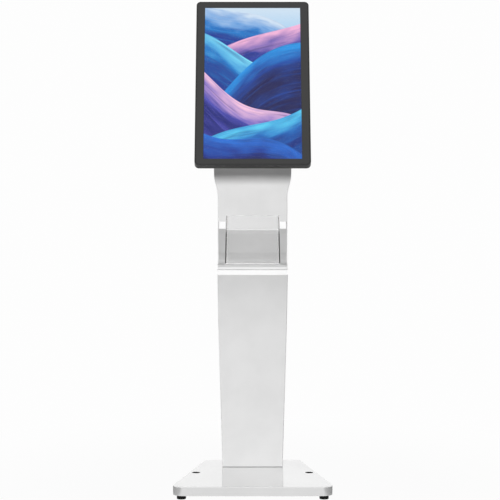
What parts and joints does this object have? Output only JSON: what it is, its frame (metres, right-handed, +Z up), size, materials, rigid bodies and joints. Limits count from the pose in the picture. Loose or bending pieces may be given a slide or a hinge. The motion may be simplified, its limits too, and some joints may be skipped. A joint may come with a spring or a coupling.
{
  "type": "display floor stand",
  "caption": "Floor stand with a levelling base, a tapered sheet-metal column, a clear leaflet pocket in a scoop and a tilted display that turns a quarter turn.",
  "frame": {"origin": "on the floor, under the middle of the base's footprint", "axes": "+Z up, front (the screen's side) towards -Y, +X to the viewer's right from the front"},
  "size_m": [0.4292, 0.4, 1.3566],
  "materials": {
    "white_powder_coat": "smooth satin powder coat on folded sheet",
    "white_gloss_coat": "gloss coat on folded sheet",
    "zinc_plated_steel": "dull zinc plating",
    "zinc_plated_fasteners": "bright zinc plating",
    "turned_steel": "turned, lightly oiled",
    "friction_lining": "pressed friction lining",
    "black_rubber": "moulded, matte",
    "clear_acrylic": "heat-bent clear sheet with polished edges",
    "cover_glass": "tempered, dark printed border, faint gloss",
    "screen_glass": "lit picture layer",
    "diffuser_film": "milky film",
    "backlight_plastic": "moulded carrier",
    "black_coated_steel": "fine black powder coat",
    "circuit_board": "solder mask",
    "black_anodised_aluminium": "black anodised",
    "connector_shells": "plated shells",
    "black_plastic": "fine texture"
  },
  "bodies": {
    "stand": {"anchor_sleeves": "black_plastic", "base_cover": "white_gloss_coat", "base_plate": "zinc_plated_steel", "base_spacers": "zinc_plated_steel", "cable_grommet": "black_rubber", "column_bolts": "zinc_plated_fasteners", "column_cheeks": "white_powder_coat", "column_cover": "white_powder_coat", "column_cover_screws": "zinc_plated_fasteners", "column_shell": "white_powder_coat", "cover_screws": "zinc_plated_fasteners", "foot_inserts": "zinc_plated_steel", "gusset_bolts": "zinc_plated_fasteners", "gussets": "zinc_plated_steel", "head_plate": "zinc_plated_steel", "leaflet_pocket": "clear_acrylic", "neck_cover": "white_powder_coat", "neck_cover_screws": "zinc_plated_fasteners", "neck_shell": "white_powder_coat", "neck_tongue": "white_powder_coat", "pocket_pads": "clear_acrylic", "post": "zinc_plated_steel", "post_flange": "zinc_plated_steel", "shell_brackets": "zinc_plated_steel", "stator_bolts": "zinc_plated_fasteners", "stop_pin": "turned_steel", "swivel_stator": "turned_steel", "tray": "white_powder_coat"},
    "display": {"mounting_plate": "zinc_plated_steel", "mounting_screws": "zinc_plated_fasteners", "swivel_rotor": "turned_steel", "rotor_screws": "zinc_plated_fasteners", "friction_disc": "friction_lining", "thrust_washer": "turned_steel", "lock_nut": "turned_steel", "front_frame": "black_coated_steel", "cover_glass": "cover_glass", "glass_gasket": "black_rubber", "screen_cell": "screen_glass", "diffuser_stack": "diffuser_film", "backlight_unit": "backlight_plastic", "chassis_plate": "zinc_plated_steel", "rear_shell": "black_coated_steel", "rear_shell_screws": "black_coated_steel", "standoffs": "zinc_plated_steel", "main_board": "circuit_board", "heat_sink": "black_anodised_aluminium", "connector_block": "connector_shells", "connector_bracket": "zinc_plated_steel", "power_board": "circuit_board", "speakers": "black_plastic"},
    "power_button": {"power_button": "black_plastic"},
    "foot_front_left": {"foot_pad_front_left": "black_rubber", "foot_stud_front_left": "zinc_plated_steel"},
    "foot_front_right": {"foot_pad_front_right": "black_rubber", "foot_stud_front_right": "zinc_plated_steel"},
    "foot_back_left": {"foot_pad_back_left": "black_rubber", "foot_stud_back_left": "zinc_plated_steel"},
    "foot_back_right": {"foot_pad_back_right": "black_rubber", "foot_stud_back_right": "zinc_plated_steel"}
  },
  "joints": [
    {"name": "display_turn", "type": "hinge", "parent": "stand", "child": "display", "pos_m": [0, 0.02, 1.127], "axis": [0, -0.8949, 0.4462], "range_deg": [0, 90]},
    {"name": "power_button_press", "type": "slide", "parent": "display", "child": "power_button", "axis": [0, 0.4462, 0.8949], "range_m": [0, 0.0015], "stiffness_N_per_m": 800, "springref_m": -0.0008},
    {"name": "foot_front_left_height", "type": "slide", "parent": "stand", "child": "foot_front_left", "axis": [0, 0, -1], "range_m": [0, 0.01]},
    {"name": "foot_front_right_height", "type": "slide", "parent": "stand", "child": "foot_front_right", "axis": [0, 0, -1], "range_m": [0, 0.01]},
    {"name": "foot_back_left_height", "type": "slide", "parent": "stand", "child": "foot_back_left", "axis": [0, 0, -1], "range_m": [0, 0.01]},
    {"name": "foot_back_right_height", "type": "slide", "parent": "stand", "child": "foot_back_right", "axis": [0, 0, -1], "range_m": [0, 0.01]}
  ]
}
